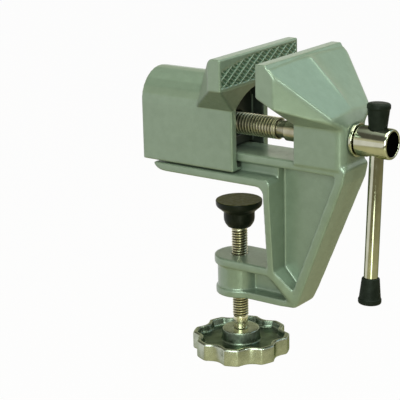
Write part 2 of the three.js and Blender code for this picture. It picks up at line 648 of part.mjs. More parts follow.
function clampScrew() {
  const r = CLAMP_SCREW_RADIUS;
  const neckAngle = -Math.acos(BALL_NECK_RADIUS / BALL_RADIUS);
  const ball = arc([0, ballCentre], BALL_RADIUS, Math.PI / 2, neckAngle, ARC_STEPS / 2);
  const threadTop = padBottom - SEAT_GAP;
  const hubTop = wheelTop + WHEEL_HUB_RISE;
  const stubEnd = wheelNutBottom - STUB_CHAMFER;
  const rod = turned([
    ...ball, [BALL_NECK_RADIUS, threadTop], [r - TIP_CHAMFER, threadTop], [r, threadTop - TIP_CHAMFER],
    [r, hubTop + SHANK_RISE], [SHANK_RADIUS, hubTop + SHANK_RISE - TIP_CHAMFER],
    [SHANK_RADIUS, hubTop + SEAT_GAP], [STUB_RADIUS, hubTop + SEAT_GAP],
    [STUB_RADIUS, stubEnd + STUB_CHAMFER], [STUB_RADIUS - STUB_CHAMFER, stubEnd], [0, stubEnd],
  ]);
  addMesh('clamp_screw', 'steel', toGeometry(rod));
}

// Scalloped outline, with a notch at every whole step round it
function wheelOutline(inset) {
  const points = Array.from({ length: WHEEL_LOBES * WHEEL_LOBE_STEPS }, (_, i) => {
    const angle = (2 * Math.PI * i) / (WHEEL_LOBES * WHEEL_LOBE_STEPS);
    const wave = Math.abs(Math.sin((WHEEL_LOBES * angle) / 2)) ** WHEEL_LOBE_SHARE;
    const radius = WHEEL_RADIUS - inset - WHEEL_NOTCH_DEPTH * (1 - wave);
    return [radius * Math.cos(angle), radius * Math.sin(angle)];
  });
  return outline(points);
}

function clampHandwheel() {
  const inner = wheelOutline(WHEEL_RIM_WALL);
  const webTop = wheelTop - WHEEL_DISH_DEPTH;
  const webBottom = webTop - WHEEL_WEB_THICKNESS;
  const wheel = flatPlate(wheelOutline(0), [wheelBottom, wheelTop])
    .subtract(flatPlate(inner, [webTop, wheelTop + OVERRUN]))
    .subtract(flatPlate(inner, [wheelBottom - OVERRUN, webBottom]))
    .add(roundRod(WHEEL_HUB_RADIUS, [webBottom, wheelTop + WHEEL_HUB_RISE]))
    .subtract(roundRod(STUB_RADIUS + RUNNING_GAP, [wheelBottom - OVERRUN, wheelTop + 2 * WHEEL_HUB_RISE]));
  addMesh('clamp_handwheel', 'aluminium', toGeometry(wheel));
}

function handwheelNut() {
  const flats = Array.from({ length: 6 }, (_, i) => {
    const angle = (Math.PI * (2 * i + 1)) / 6;
    const corner = WHEEL_NUT_WIDTH / Math.sqrt(3);
    return [corner * Math.cos(angle), corner * Math.sin(angle)];
  });
  const nut = flatPlate(outline(flats), [wheelNutBottom, wheelNutTop])
    .subtract(roundRod(STUB_RADIUS + RUNNING_GAP, [wheelNutBottom - OVERRUN, wheelNutTop + OVERRUN]));
  addMesh('handwheel_nut', 'steel', toGeometry(nut));
}

frameCasting();
movingJaw();
jawNut();
leadScrew();
clipWasher();
retainingClip();
thrustWasher();
screwHead();
headPlug();
tommyBar();
barCaps();
clampPad();
clampScrew();
clampHandwheel();
handwheelNut();

export default part;
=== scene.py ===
import math

import bmesh
import bpy
from mathutils import Matrix, Vector

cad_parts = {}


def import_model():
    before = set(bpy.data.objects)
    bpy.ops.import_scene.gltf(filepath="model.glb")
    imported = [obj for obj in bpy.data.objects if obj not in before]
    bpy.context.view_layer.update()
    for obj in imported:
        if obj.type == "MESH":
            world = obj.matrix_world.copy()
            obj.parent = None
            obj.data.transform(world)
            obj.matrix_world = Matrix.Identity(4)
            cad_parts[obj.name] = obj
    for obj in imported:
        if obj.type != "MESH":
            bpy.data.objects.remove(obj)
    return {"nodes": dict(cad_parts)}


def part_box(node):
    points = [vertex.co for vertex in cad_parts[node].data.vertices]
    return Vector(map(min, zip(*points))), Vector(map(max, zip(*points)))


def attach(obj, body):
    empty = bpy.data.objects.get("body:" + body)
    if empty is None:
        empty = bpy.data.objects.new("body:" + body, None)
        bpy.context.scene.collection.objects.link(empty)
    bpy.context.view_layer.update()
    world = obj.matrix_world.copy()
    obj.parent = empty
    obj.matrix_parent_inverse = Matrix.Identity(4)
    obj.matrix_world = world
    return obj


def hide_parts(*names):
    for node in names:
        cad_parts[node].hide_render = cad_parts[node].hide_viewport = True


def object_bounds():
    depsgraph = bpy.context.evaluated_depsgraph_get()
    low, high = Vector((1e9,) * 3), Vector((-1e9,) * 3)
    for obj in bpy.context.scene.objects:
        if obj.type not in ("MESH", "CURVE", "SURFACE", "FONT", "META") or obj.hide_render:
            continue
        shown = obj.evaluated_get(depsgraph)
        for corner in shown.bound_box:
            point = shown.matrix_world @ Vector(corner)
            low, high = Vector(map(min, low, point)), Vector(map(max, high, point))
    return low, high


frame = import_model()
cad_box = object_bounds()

# Looks of a small bench vise that clamps to a table edge. Lengths are in millimetres and become
# metres where a mesh is made. +X runs along the lead screw, +Y across the jaws and +Z up.

MM = 0.001

# Camera, solved from the photograph's straight edges in its 400 by 400 frame
PHOTO_SIDE = 400
FOCAL_PIXELS = 1420
SENSOR_WIDTH = 36
CAMERA_AZIMUTH = 36.376
CAMERA_ELEVATION = 16.628
CAMERA_ROLL = -1.363
CAMERA_DISTANCE = 517.83
CAMERA_SHIFT_RIGHT = 14.454
CAMERA_SHIFT_DOWN = -28.014
CAMERA_CLIP = (0.01, 60)

# Castings
CAST_VOXEL = 0.32
CAST_ROUNDING_PASSES = 14
CAST_FACES_SHARE = 0.26
CAST_CREASE = 55
SMOOTHING = 0.5
FLAT_ANGLE = 0.2

# Moving jaw's tunnel, the limits of the painted shade in it and under its wings, and the rib in the
# corner of its mouth
BODY_HALF = 11.8
BODY_WALL = 3.1
BODY_TOP = 37.4
TUNNEL_HALF = BODY_HALF - BODY_WALL
INSIDE_SLACK = 0.3
INSIDE_START = 0.5
INSIDE_END = 0.4
INSIDE_FOOT = 5
UNDERSIDE_SLOPE = -0.25
BULKHEAD_FRONT = 0.5
RIB_RADIUS = 0.4
RIB_FOOT = 14
RIB_TOP = 31
RIB_INSET = 0.3
RIB_SIDES = 16

# Fixed jaw's back: its ridge from the step under the lip down to the flare's end
FIXED_OFFSET = 14.3
RIDGE_START = (30.1, 46.8)
RIDGE_END = (47.8, 29.6)
RIDGE_RELIEF = 0.55
RIDGE_SPREAD = 3.5
RIDGE_BEAD = 0.16
RIDGE_BEAD_HALF = 0.6
RIDGE_DEPTH = 1.6
RIDGE_RISE = 1.5
RIDGE_FALL = 8

# Places of the frame that are softened further, by how much and how far around them. The flare's foot
# and the heel fade out between half of the reach and one and a half, the others between one and two.
BLEND_PASSES = 70
BLEND_REACH = 4
HEEL_HEIGHT = 0.5
FLARE_FOOT = (48.3, 27)
FLARE_FOOT_STRETCH = 0.8
FLARE_EDGE = ((31.6, 25, 44.4), (47.8, 13.2, 28.7))
FLARE_EDGE_SOFTNESS = 0.55
FLARE_EDGE_REACH = 1.5
BACK_LEDGE = (49.7, 10.5)
BACK_LEDGE_SOFTNESS = 0.8
BACK_LEDGE_REACH = 0.8

# Cross-hatched gripping faces
JAW_WIDTH = 50
GRIP_HEIGHT = 11.4
GRIP_BORDER = 0.9
GRIP_DEPTH = 0.9
HATCH_PITCH = 2.85
HATCH_ANGLE = 32
HATCH_HEIGHT = 0.5
HATCH_RIDGE_WIDTH = 1.15
HATCH_CROSS_PITCH = 1.45
HATCH_CROSS_WIDTH = 0.9
HATCH_CROSS_TOP = 0.1
HATCH_FADE = 0.5
# Depth below the face past which the pattern's cells get painted shade
HATCH_SHADE_DEPTH = 0.25
WORN_BAND = 3.4
WORN_SLOPE = 0.16
WORN_FADE = 1.6
GRIP_STEP = 0.14
GRIP_CREASE = 20

# Lead screw
LEAD_RADIUS = 4
LEAD_PITCH = 1.25
LEAD_THREAD_END = 18.4
LEAD_NECK_LENGTH = 3.3
LEAD_NECK_RADIUS = 3.2
LEAD_ROOT = 0.6
TIP_CHAMFER = 0.9

# Clamp screw
CLAMP_RADIUS = 3
CLAMP_PITCH = 1
CLAMP_ROOT = 0.5
CLAMP_NECK_RADIUS = 2.1
BALL_RADIUS = 3.4
SHANK_RADIUS = 2.7
SHANK_LENGTH = 5
STUB_RADIUS = 2

# Clamp pad, with its outline from the mouth up and from below the plate to its top, as radius, distance
# from the pad's bottom or top, and rounding
PAD_MOUTH = 3
PAD_NECK = ((3.01, 0, 0), (4.3, 0, 0.4), (5.45, 1.6, 1.4), (5.8, 3, 0.8))
PAD_PLATE = ((5.8, 4.6, 0.15), (6.05, 4.35, 0.2), (8.6, 2.2, 0.7), (8.7, 0.2, 0.35), (8.3, 0, 0.3),
             (7.9, 0.06, 0.2), (0, 0.1, 0))
PAD_TOP_LAYER = 0.5
SOCKET_PLAY = 0.1
BALL_STEPS = 12
THREAD_GAP = 0.3

# Screw head, washer and bar
HEAD_RADIUS = 5.4
HEAD_BORE = 4.05
HEAD_HOLE_RADIUS = 3.4
PLUG_RADIUS = 4.35
PLUG_THICKNESS = 2.2
PLUG_GAP = 0.2
PLUG_RIM = 0.12
PLUG_HOLLOW = 0.75
THRUST_WASHER_RADIUS = 6
CLIP_WASHER_RADIUS = 6.1
WASHER_BORE = 4.15
BAR_RADIUS = 2.5
BAR_HOLE_RADIUS = 2.62
BAR_TILT = 4
BAR_LENGTH = 67.6
BAR_PLAY = 0.3
CAP_LENGTH = 9.5
CAP_BORE_DEPTH = 7.9
CAP_BORE = 2.55
CAP_SMALL_RADIUS = 3.15
CAP_CONE_RADIUS = 3.86
CAP_LIP_RADIUS = 4.13
CAP_LIP_HEIGHT = 2.1

# Handwheel
WHEEL_RADIUS = 18.4
WHEEL_LOBES = 8
WHEEL_NOTCH_DEPTH = 2.1
WHEEL_FLUTE_HALF = 14
WHEEL_RIM_WALL = 1.8
WHEEL_DISH = 2.4
WHEEL_WEB = 1.6
WHEEL_HUB_RADIUS = 7
WHEEL_HUB_RISE = 2.2
WHEEL_BORE = 2.05
WHEEL_SIDES = 240
FLUTE_FADE = 1

# Faces of the wheel that are in its dish: how they face, and how far around the web and hub they lie
DISH_FACING = -0.4
DISH_UPWARD = 0.5
DISH_MARGIN = 0.8
DISH_EDGE = 0.2
HUB_MARGIN = 1

# Play between two pieces, and the upward part of a normal that counts as level
PLAY = 0.05
LEVEL = 0.9

# Fineness of turned pieces, and a thread's depth and outline as shares of its pitch
SMOOTH_SIDES = 64
CUTTER_SIDES = 48
ROD_CREASE = 50
THREAD_SIDES = 40
THREAD_STEPS = 12
THREAD_DEPTH = 0.61
THREAD_FLANK = 1.35
THREAD_ROOT = 0.1
NUT_BEVEL = 0.2
CLIP_BEVEL = 0.1
BEVEL_ANGLE = 35

# Painted shade in the threads' roots, and the steel's stained tone on their crests
THREAD_ROOT_SHADE = (0.06, 0.055, 0.035)
STAINED_STEEL = ((0.68, 0.64, 0.46), (0.9, 0.86, 0.64))

# Enamel's two tones of mottle and of flakes
MOTTLE = ((0.193, 0.246, 0.187), (0.217, 0.275, 0.212))
FLAKES = ((0.164, 0.213, 0.162), (0.246, 0.308, 0.239))

# Floor, below the vise. The camera sees it white, and so does metal from a line behind the vise on.
FLOOR_COLOUR = (0.5, 0.44, 0.3)
FLOOR_WHITE_SHARE = 0.97
FLOOR_HALF = 40000
FLOOR_DROP = 130
MIRRORED_WHITE_TURN = 50
MIRRORED_WHITE_START = 165
MIRRORED_WHITE_END = 335

# Sky, with its colours by height, and its white band above the horizon
WHITE_HORIZON = (0.975, 0.975, 0.975)
WHITE_HORIZON_TOP = 0.2
WHITE_HORIZON_FADE = 0.02
SKY = ((0.1, (0.13, 0.1, 0.06)), (0.2, (0.74, 0.72, 0.55)), (0.34, (0.74, 0.72, 0.55)),
       (0.5, (0.12, 0.12, 0.1)), (0.8, (0.12, 0.12, 0.1)), (0.9, (0.6, 0.68, 0.6)))

# Lamps: name, place, side, power and colour
LAMPS = (
    ("front", (215, -558, 225), 360, 2.95, (0.83, 0.96, 0.88)),
    ("low_front", (252, -315, -118), 110, 0.12, (0.9, 1, 0.8)),
    ("right_high", (425, -60, 255), 100, 0.43, (0.85, 1, 0.95)),
    ("back", (285, 395, 490), 500, 0.65, (0.55, 0.83, 1)),
    ("top", (100, 0, 640), 560, 4.8, (0.93, 1, 0.83)),
)


def corners(node):
    """Lowest and highest corner of a node of the frame, in millimetres"""
    low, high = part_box(node)
    return low / MM, high / MM


screw_height = sum(corners("lead_screw")[i][2] for i in (0, 1)) / 2
bar_centre = sum((corners("tommy_bar")[i] for i in (0, 1)), Vector()) / 2
along_screw = Matrix.Translation((0, 0, screw_height)) @ Matrix.Rotation(math.pi / 2, 4, "Y")
along_bar = Matrix.Translation(bar_centre) @ Matrix.Rotation(math.radians(-BAR_TILT), 4, "X")


# Meshes

def new_piece(name, vertices, faces):
    """A new object from vertices in millimetres, its faces turned outward"""
    mesh = bpy.data.meshes.new(name)
    mesh.from_pydata([tuple(Vector(v) * MM) for v in vertices], [], faces)
    work = bmesh.new()
    work.from_mesh(mesh)
    bmesh.ops.recalc_face_normals(work, faces=work.faces)
    work.to_mesh(mesh)
    work.free()
    piece = bpy.data.objects.new(name, mesh)
    bpy.context.scene.collection.objects.link(piece)
    return piece


def copied(name, node):
    """A new object with a copy of a node's mesh, its vertices joined"""
    mesh = frame["nodes"][node].data.copy()
    mesh.materials.clear()
    work = bmesh.new()
    work.from_mesh(mesh)
    bmesh.ops.remove_doubles(work, verts=work.verts, dist=MM / 1000)
    bmesh.ops.dissolve_limit(work, angle_limit=math.radians(FLAT_ANGLE), verts=work.verts,
                             edges=work.edges)
    work.to_mesh(mesh)
    work.free()
    piece = bpy.data.objects.new(name, mesh)
    bpy.context.scene.collection.objects.link(piece)
    return piece


def settled(piece):
    """Turns what the piece's modifiers make into its mesh"""
    bpy.context.view_layer.update()
    graph = bpy.context.evaluated_depsgraph_get()
    mesh = bpy.data.meshes.new_from_object(piece.evaluated_get(graph))
    piece.modifiers.clear()
    piece.data = mesh
    return piece


def cut(piece, *cutters):
    """Cuts each cutter out of the piece and removes it"""
    for cutter in cutters:
        step = piece.modifiers.new("cut", "BOOLEAN")
        step.operation = "DIFFERENCE"
        step.solver = "EXACT"
        step.object = cutter
    settled(piece)
    for cutter in cutters:
        bpy.data.objects.remove(cutter)


def dressed(piece, body, slot, material, *nodes, crease=40):
    """Puts the piece on its body with its finish, in place of the nodes it stands for"""
    piece.data.materials.clear()
    piece.data.materials.append(material)
    piece.data.shade_smooth()
    piece.data.set_sharp_from_angle(angle=math.radians(crease))
    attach(piece, body)
    if nodes:
        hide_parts(*nodes)


def finished(piece, finish, chosen):
    """Gives the faces that are chosen by their centre, in millimetres, and normal another finish"""
    piece.data.materials.append(finish)
    index = len(piece.data.materials) - 1
    for face in piece.data.polygons:
        if chosen(face.center / MM, face.normal):
            face.material_index = index


def rounded(points, steps=4):
    """Outline through (radius, place, rounding) corners, each corner rounded by its own size"""
    flat = [Vector((radius, place)) for radius, place, _ in points]
    outline = []
    for i, (_, _, rounding) in enumerate(points):
        if not rounding or i in (0, len(points) - 1):
            outline.append(flat[i])
            continue
        into, out = flat[i - 1] - flat[i], flat[i + 1] - flat[i]
        start = flat[i] + into.normalized() * min(rounding, into.length / 2)
        end = flat[i] + out.normalized() * min(rounding, out.length / 2)
        for k in range(steps + 1):
            t = k / steps
            outline.append(start * (1 - t) ** 2 + flat[i] * 2 * t * (1 - t) + end * t ** 2)
    return [tuple(point) for point in outline]


def face_of(quad):
    """The quad's vertices without repeats: some corners meet on an axis or at a thread's end"""
    return [v for i, v in enumerate(quad) if v not in quad[:i]]


def spun(name, profile, matrix=Matrix.Identity(4), sides=SMOOTH_SIDES, radius_at=None):
    """Turns (radius, place) pairs about Z. A profile with both ends off the axis closes on itself."""
    closed = profile[0][0] > 0 and profile[-1][0] > 0
    vertices, rings = [], []
    for index, (radius, place) in enumerate(profile):
        if radius == 0:
            rings.append([len(vertices)] * sides)
            vertices.append(matrix @ Vector((0, 0, place)))
            continue
        rings.append(list(range(len(vertices), len(vertices) + sides)))
        for k in range(sides):
            angle = 2 * math.pi * k / sides
            r = radius_at(index, radius, place, angle) if radius_at else radius
            vertices.append(matrix @ Vector((r * math.cos(angle), r * math.sin(angle), place)))
    faces = []
    for low, high in zip(rings, rings[1:] + rings[:1] if closed else rings[1:]):
        for k in range(sides):
            n = (k + 1) % sides
            face = face_of([low[k], low[n], high[n], high[k]])
            if len(face) > 2:
                faces.append(face)
    return new_piece(name, vertices, faces)


def slab(low, high):
    """A plain box, used only to cut"""
    places = [(x, y, z) for x in (low[0], high[0]) for y in (low[1], high[1])
              for z in (low[2], high[2])]
    faces = [(0, 1, 3, 2), (4, 6, 7, 5), (0, 4, 5, 1), (2, 3, 7, 6), (0, 2, 6, 4), (1, 5, 7, 3)]
    return new_piece("cutter", places, faces)


def ring_points(radius, place, sides, matrix):
    """A circle about Z, moved by the matrix"""
    return [matrix @ Vector((radius * math.cos(2 * math.pi * k / sides),
                             radius * math.sin(2 * math.pi * k / sides), place))
            for k in range(sides)]


def threaded(name, before, thread, after, radius, pitch, matrix):
    """A rod with a helical thread from one place to another, between outlines of its plain ends"""
    start, end = thread
    sides, depth = THREAD_SIDES, THREAD_DEPTH * pitch
    profile = [min(max((1 - abs(2 * k / THREAD_STEPS - 1)) * THREAD_FLANK - THREAD_ROOT, 0), 1)
               for k in range(THREAD_STEPS)]
    rows = math.ceil((end - start) / pitch * THREAD_STEPS) + THREAD_STEPS
    vertices, places = [], {}

    def vertex(row, side):
        place = start - pitch + pitch * (row / THREAD_STEPS + side / sides)
        if start < place < end:
            share = profile[row % THREAD_STEPS]
        else:
            place = min(max(place, start), end)
            phase = ((place - start) / pitch - side / sides) * THREAD_STEPS % THREAD_STEPS
            low = int(phase)
            share = (profile[low % THREAD_STEPS] * (low + 1 - phase)
                     + profile[(low + 1) % THREAD_STEPS] * (phase - low))
        key = (round(place, 5), side)
        if key not in places:
            places[key] = len(vertices)
            run_out = min(1, (end - place) / pitch)
            r = min(radius - depth * (1 - share) * run_out, before[-1][0] + (place - start))
            angle = 2 * math.pi * side / sides
            vertices.append(matrix @ Vector((r * math.cos(angle), r * math.sin(angle), place)))
        return places[key]

    faces = []
    for row in range(rows):
        for side in range(sides):
            if side < sides - 1:
                quad = [vertex(row, side), vertex(row, side + 1),
                        vertex(row + 1, side + 1), vertex(row + 1, side)]
            else:
                quad = [vertex(row, side), vertex(min(row + THREAD_STEPS, rows), 0),
                        vertex(min(row + THREAD_STEPS + 1, rows), 0), vertex(row + 1, side)]
            face = face_of(quad)
            if len(face) > 2:
                faces.append(face)
    first = [vertex(0, side) for side in range(sides)]
    last = [vertex(rows, side) for side in range(sides)]
    for ring, outline in ((first, before[::-1]), (last, after)):
        for r, place in outline:
            if r == 0:
                ring_next = [len(vertices)] * sides
                vertices.append(matrix @ Vector((0, 0, place)))
            else:
                ring_next = list(range(len(vertices), len(vertices) + sides))
                vertices += ring_points(r, place, sides, matrix)
            for k in range(sides):
                n = (k + 1) % sides
                faces.append(face_of([ring[k], ring[n], ring_next[n], ring_next[k]]))
            ring = ring_next
    return new_piece(name, vertices, faces)


# Materials

def material(name, base, metallic, roughness, **sockets):
    made = bpy.data.materials.new(name)
    made.use_nodes = True
    shader = made.node_tree.nodes["Principled BSDF"]
    shader.inputs["Base Color"].default_value = (*base, 1)
    shader.inputs["Metallic"].default_value = metallic
    shader.inputs["Roughness"].default_value = roughness
    for socket, value in sockets.items():
        shader.inputs[socket.replace("_", " ")].default_value = value
    return made, made.node_tree, shader


def add(tree, kind, **values):
    """A new node, with values for its sockets or its own settings"""
    node = tree.nodes.new(kind)
    for name, value in values.items():
        if name in node.inputs:
            node.inputs[name].default_value = value
        else:
            setattr(node, name, value)
    return node


def feed(tree, value, socket):
    """Links an output to the socket, or sets the socket's own value"""
    if isinstance(value, bpy.types.NodeSocket):
        tree.links.new(value, socket)
    else:
        socket.default_value = value


def combined(tree, operation, first, second):
    node = add(tree, "ShaderNodeMath", operation=operation)
    feed(tree, first, node.inputs[0])
    feed(tree, second, node.inputs[1])
    return node.outputs[0]


def mixed(tree, factor, first, second):
    node = add(tree, "ShaderNodeMix", data_type="RGBA")
    feed(tree, factor, node.inputs["Factor"])
    feed(tree, first, node.inputs[6])
    feed(tree, second, node.inputs[7])
    return node.outputs[2]


def grain(tree, size, detail):
    """Noise in the object's own space, with grains of about the given size in millimetres"""
    noise = add(tree, "ShaderNodeTexNoise", Scale=1 / (size * MM), Detail=detail)
    tree.links.new(add(tree, "ShaderNodeTexCoord").outputs["Object"], noise.inputs["Vector"])
    return noise.outputs["Fac"]


def ramp(tree, source, low, high, low_at=0.35, high_at=0.65):
    """Maps a value to a colour or grey between two ends"""
    node = add(tree, "ShaderNodeValToRGB")
    for element, place, colour in zip(node.color_ramp.elements, (low_at, high_at), (low, high)):
        element.position = place
        element.color = (*colour, 1) if hasattr(colour, "__len__") else (colour, colour, colour, 1)
    tree.links.new(source, node.inputs["Fac"])
    return node.outputs["Color"]


def surfaced(tree, shader, tone, rough, relief):
    """Links a tone, a roughness that drifts between two values, and fine relief to the shader"""
    size, detail, low, high = rough
    tree.links.new(tone, shader.inputs["Base Color"])
    tree.links.new(ramp(tree, grain(tree, size, detail), low, high), shader.inputs["Roughness"])
    size, detail, distance, strength = relief
    bump = add(tree, "ShaderNodeBump", Strength=strength, Distance=distance * MM)
    tree.links.new(grain(tree, size, detail), bump.inputs["Height"])
    tree.links.new(bump.outputs["Normal"], shader.inputs["Normal"])


def paint(name, share, tint=(1, 1, 1)):
    """Grey-green metallic enamel: fine flakes over a soft mottle, at a share of its full colour; a
    share below one paints shade into it
    """
    made, tree, shader = material(name, (0.2, 0.26, 0.2), 0.4, 0.34, Coat_Weight=0.25 * share ** 3,
                                  Coat_Roughness=0.16)
    mottle, flakes = ([[c * t * share for c, t in zip(tone, tint)] for tone in tones]
                      for tones in (MOTTLE, FLAKES))
    tone = mixed(tree, 0.3, ramp(tree, grain(tree, 3.2, 4), *mottle),
                 ramp(tree, grain(tree, 0.25, 2), *flakes, 0.3, 0.7))
    surfaced(tree, shader, tone, (1.4, 3, 0.3, 0.38), (0.5, 2, 0.008, 0.5))
    return made


def thread_steel(name, across, centre, root, crest, share=1):
    """Plated steel with painted shade in the roots of its thread, which are nearer its axis, and over
    all of it when share is below one
    """
    made, tree, shader = material(name, (0.4, 0.37, 0.27), 1, 0.3)
    mapping = add(tree, "ShaderNodeMapping", Scale=across, Location=[-c * MM for c in centre])
    tree.links.new(add(tree, "ShaderNodeTexCoord").outputs["Object"], mapping.inputs["Vector"])
    radius = add(tree, "ShaderNodeVectorMath", operation="LENGTH")
    tree.links.new(mapping.outputs["Vector"], radius.inputs[0])
    height = add(tree, "ShaderNodeMapRange")
    height.inputs["From Min"].default_value = root * MM
    height.inputs["From Max"].default_value = crest * MM
    tree.links.new(radius.outputs["Value"], height.inputs["Value"])
    stain = ramp(tree, grain(tree, 4, 3), *([c * share for c in tone] for tone in STAINED_STEEL))
    # Painted shade in the thread's roots, blending to the stained steel at the crests
    tone = mixed(tree, height.outputs["Result"], (*THREAD_ROOT_SHADE, 1), stain)
    tree.links.new(tone, shader.inputs["Base Color"])
    tree.links.new(ramp(tree, height.outputs["Result"], 0.6, 0.24, 0, 1), shader.inputs["Roughness"])
    return made


def chrome():
    made, tree, shader = material("chrome_plate", (0.62, 0.6, 0.5), 1, 0.14,
                                  Specular_Tint=(0.3, 0.34, 0.24, 1))
    tone = ramp(tree, grain(tree, 5, 3), (0.47, 0.47, 0.36), (0.56, 0.56, 0.44))
    surfaced(tree, shader, tone, (3, 2, 0.08, 0.14), (3, 2, 0.006, 0.3))
    return made


def alloy(name, dark, light, low_rough, high_rough):
    made, tree, shader = material(name, dark, 1, low_rough, Specular_Tint=(0.5, 0.55, 0.4, 1))
    tone = ramp(tree, grain(tree, 3, 3), dark, light)
    surfaced(tree, shader, tone, (1.2, 3, low_rough, high_rough), (2, 2, 0.01, 0.3))
    return made


def black(name, dark, light, low_rough, high_rough, gloss=0.12):
    """Rubber or plastic that is a touch uneven in tone, roughness and surface"""
    made, tree, shader = material(name, dark, 0, low_rough, Specular_IOR_Level=gloss)
    tone = ramp(tree, grain(tree, 2, 4), dark, light)
    surfaced(tree, shader, tone, (0.8, 3, low_rough, high_rough), (0.35, 2, 0.02, 0.5))
    return made


PAINT = paint("paint", 1)
# Darker copies of the enamel, which paint shade where it falls: on the rib in the moving jaw's mouth,
# in the gripping faces' cells, under the moving jaw's wings and in its tunnel
SHADED_PAINT = paint("shaded_paint", 0.5)
GROOVE_SHADE_PAINT = paint("groove_painted_shade", 0.5, (0.8, 1.1, 0.95))
UNDERSIDE_SHADE_PAINT = paint("underside_painted_shade", 0.7)
TUNNEL_SHADE_PAINT = paint("tunnel_painted_shade", 0.14)
STEEL = thread_steel("plated_steel", (1, 1, 1), (0, 0, 0), 0, 1)
LEAD_AXIS = (0, 0, screw_height)
LEAD_STEEL = thread_steel("lead_steel", (0, 1, 1), LEAD_AXIS, LEAD_RADIUS - LEAD_ROOT, LEAD_RADIUS)
CLAMP_STEEL = thread_steel("clamp_steel", (1, 1, 0), (0, 0, 0), CLAMP_RADIUS - CLAMP_ROOT,
                           CLAMP_RADIUS)
# Darker copies of the steel, painted shade on the journal and the neck
JOURNAL_SHADE_STEEL = thread_steel("journal_painted_shade", (0, 1, 1), LEAD_AXIS, 0, 1, 0.5)
NECK_SHADE_STEEL = thread_steel("neck_painted_shade", (0, 1, 1), LEAD_AXIS, 0, 1, 0.36)
CHROME = chrome()
ALLOY = alloy("wheel_alloy", (0.37, 0.4, 0.33), (0.49, 0.52, 0.44), 0.2, 0.3)
DISH_ALLOY = alloy("wheel_inside", (0.15, 0.185, 0.145), (0.22, 0.265, 0.21), 0.28, 0.42)
RUBBER = black("rubber", (0.004, 0.007, 0.004), (0.009, 0.013, 0.009), 0.45, 0.55)
PLASTIC = black("black_plastic", (0.004, 0.006, 0.003), (0.009, 0.012, 0.007), 0.3, 0.42)
PLUG_PLASTIC = black("plug_plastic", (0.0008, 0.0008, 0.0008), (0.0015, 0.0015, 0.0015), 0.3, 0.4,
                     gloss=0)
# Olive-brown for the pad's level top: a painted reflection
PAD_TOP_REFLECTION = black("pad_top_painted_reflection", (0.085, 0.078, 0.022), (0.12, 0.11, 0.04), 0.42, 0.6)


# Castings

def blended(piece, nearness):
    """Softens the piece's forms where nearness, from 0 to 1, says so"""
    group = piece.vertex_groups.new(name="soft")
    for vertex in piece.data.vertices:
        weight = nearness(vertex.co / MM)
        if weight > 0.01:
            group.add([vertex.index], weight, "REPLACE")
    soft = piece.modifiers.new("soft", "SMOOTH")
    soft.factor = SMOOTHING
    soft.iterations = BLEND_PASSES
    soft.vertex_group = group.name
    settled(piece)


def casting(name, node, nearness=None, relief=None):
    """The node's solid with every edge and inner corner rounded, as casting leaves them"""
    piece = copied(name, node)
    even = piece.modifiers.new("even", "REMESH")
    even.mode = "VOXEL"
    even.voxel_size = CAST_VOXEL * MM
    soft = piece.modifiers.new("soft", "SMOOTH")
    soft.factor = SMOOTHING
    soft.iterations = CAST_ROUNDING_PASSES
    settled(piece)
    if nearness:
        blended(piece, nearness)
    if relief:
        for vertex in piece.data.vertices:
            vertex.co += relief(vertex.co / MM) * MM
    fewer = piece.modifiers.new("fewer", "DECIMATE")
    fewer.ratio = CAST_FACES_SHARE
    return settled(piece)


def hatch_depth(y, z):
    """Depth of a gripping face's pattern: rising ridges, crossed by finer and lower falling ones"""
    def ridge(turn, pitch, width, crest):
        angle = math.radians(turn)
        across = -math.sin(angle) * y + math.cos(angle) * z
        off = abs((across / pitch) % 1 - 0.5) * pitch
        return crest + (HATCH_HEIGHT - crest) * min(off / (width / 2), 1)

    return min(ridge(HATCH_ANGLE, HATCH_PITCH, HATCH_RIDGE_WIDTH, 0),
               ridge(-HATCH_ANGLE, HATCH_CROSS_PITCH, HATCH_CROSS_WIDTH, HATCH_CROSS_TOP))


def grip(name, face, facing, top, body):
    """Gripping plate with its pattern, plain along its edges and near its top"""
    half = JAW_WIDTH / 2 - GRIP_BORDER
    low, high = top - GRIP_HEIGHT + GRIP_BORDER, top - GRIP_BORDER
    columns, rows = round(2 * half / GRIP_STEP), round((high - low) / GRIP_STEP)
    vertices = []
    for i in range(columns + 1):
        for j in range(rows + 1):
            y = -half + 2 * half * i / columns
            z = low + (high - low) * j / rows
            edge = min(half - abs(y), z - low, high - z)
            worn = WORN_BAND - WORN_SLOPE * (y + half)
            whole = min(max((high - z - max(worn, 0)) / WORN_FADE + 0.5, 0), 1)
            depth = hatch_depth(y, z - high) * min(edge / HATCH_FADE, 1) * whole
            vertices.append((face - facing * depth, y, z))
    faces = [(i * (rows + 1) + j, (i + 1) * (rows + 1) + j, (i + 1) * (rows + 1) + j + 1,
              i * (rows + 1) + j + 1) for i in range(columns) for j in range(rows)]
    around = ([i * (rows + 1) for i in range(columns + 1)]
              + [columns * (rows + 1) + j for j in range(1, rows + 1)]
              + [i * (rows + 1) + rows for i in range(columns - 1, -1, -1)]
              + [j for j in range(rows - 1, 0, -1)])
    back = len(vertices)
    vertices += [(face - facing * GRIP_DEPTH, *vertices[v][1:]) for v in around]
    count = len(around)
    faces += [(around[k], around[(k + 1) % count], back + (k + 1) % count, back + k)
              for k in range(count)]
    faces.append(tuple(back + k for k in range(count)))
    plate = new_piece(name, vertices, faces)
    dressed(plate, body, "paint", PAINT, crease=GRIP_CREASE)
    # Painted shade: the pattern's deeper cells get a darker, greener copy of the enamel
    finished(plate, GROOVE_SHADE_PAINT, lambda centre, normal: (face - centre.x) * facing > HATCH_SHADE_DEPTH)


def grip_pocket(face, facing, top):
    """Cutter that makes room for a gripping plate in its casting"""
    half = JAW_WIDTH / 2 - GRIP_BORDER
    inner, outer = face - facing * GRIP_DEPTH, face + facing
    return slab((min(inner, outer), -half, top - GRIP_HEIGHT + GRIP_BORDER),
                (max(inner, outer), half, top - GRIP_BORDER))


